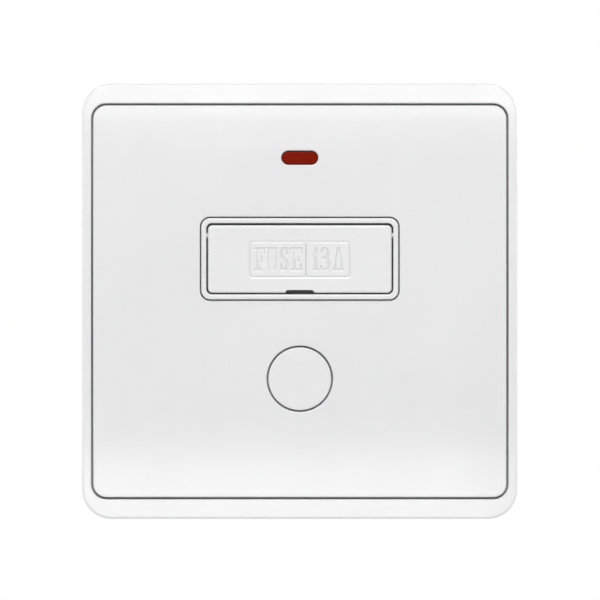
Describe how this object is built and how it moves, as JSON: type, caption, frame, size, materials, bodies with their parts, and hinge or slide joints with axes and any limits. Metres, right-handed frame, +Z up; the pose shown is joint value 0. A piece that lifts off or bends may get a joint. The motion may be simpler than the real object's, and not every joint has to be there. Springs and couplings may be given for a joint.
{
  "type": "fused spur unit",
  "caption": "Square white wall plate with a bowed clip-on panel, red neon indicator, hinged fuse carrier and blanked flex outlet, over a rear terminal housing.",
  "frame": {"origin": "wall plane, midway between the two fixing screws, at the centre of the square frame", "axes": "+X right and +Z up as seen from the room, +Y into the wall; the face looks along -Y"},
  "size_m": [0.086, 0.03, 0.086],
  "materials": {
    "frame_plastic": "white moulded thermoset, satin gloss",
    "panel_plastic": "white moulded thermoplastic, satin gloss",
    "carrier_plastic": "white moulded thermoplastic, satin gloss",
    "housing_plastic": "off-white moulded thermoset, as moulded",
    "red_lens": "clear red moulding, unlit",
    "lamp_glass": "clear glass envelope",
    "fuse_ceramic": "unglazed white ceramic",
    "nickel_plate": "nickel-plated brass",
    "tinned_wire": "tinned copper wire",
    "resistor_coat": "beige lacquer",
    "terminal_brass": "drawn brass bar, turned bores",
    "strip_brass": "rolled brass strip",
    "screw_brass": "brass, slotted",
    "zinc_steel": "bright zinc-plated steel"
  },
  "bodies": {
    "base": {"base_frame": "frame_plastic", "rear_housing": "housing_plastic", "neon_lens": "red_lens", "neon_lamp": "lamp_glass", "neon_leads": "tinned_wire", "neon_resistor": "resistor_coat", "flex_outlet_plug": "frame_plastic", "housing_screws": "zinc_steel", "terminal_screws": "screw_brass", "neutral_link": "strip_brass", "earth_strap": "strip_brass", "load_fuse_contact": "strip_brass", "supply_fuse_contact": "strip_brass", "cord_clamp": "housing_plastic", "cord_clamp_screws": "zinc_steel", "live_supply_terminal": "terminal_brass", "live_load_terminal": "terminal_brass", "neutral_supply_terminal": "terminal_brass", "neutral_load_terminal": "terminal_brass", "earth_supply_terminal": "terminal_brass", "earth_load_terminal": "terminal_brass"},
    "panel": {"front_plate": "panel_plastic"},
    "carrier": {"fuse_carrier": "carrier_plastic", "fuse_tube": "fuse_ceramic", "fuse_end_caps": "nickel_plate"}
  },
  "joints": [
    {"name": "carrier_hinge", "type": "hinge", "parent": "base", "child": "carrier", "pos_m": [0, -0.0088, 0.01303], "axis": [-1, 0, 0], "range_deg": [0, 90]},
    {"name": "panel_unclip", "type": "slide", "parent": "base", "child": "panel", "axis": [0, -1, 0], "range_m": [0, 0.015]}
  ]
}
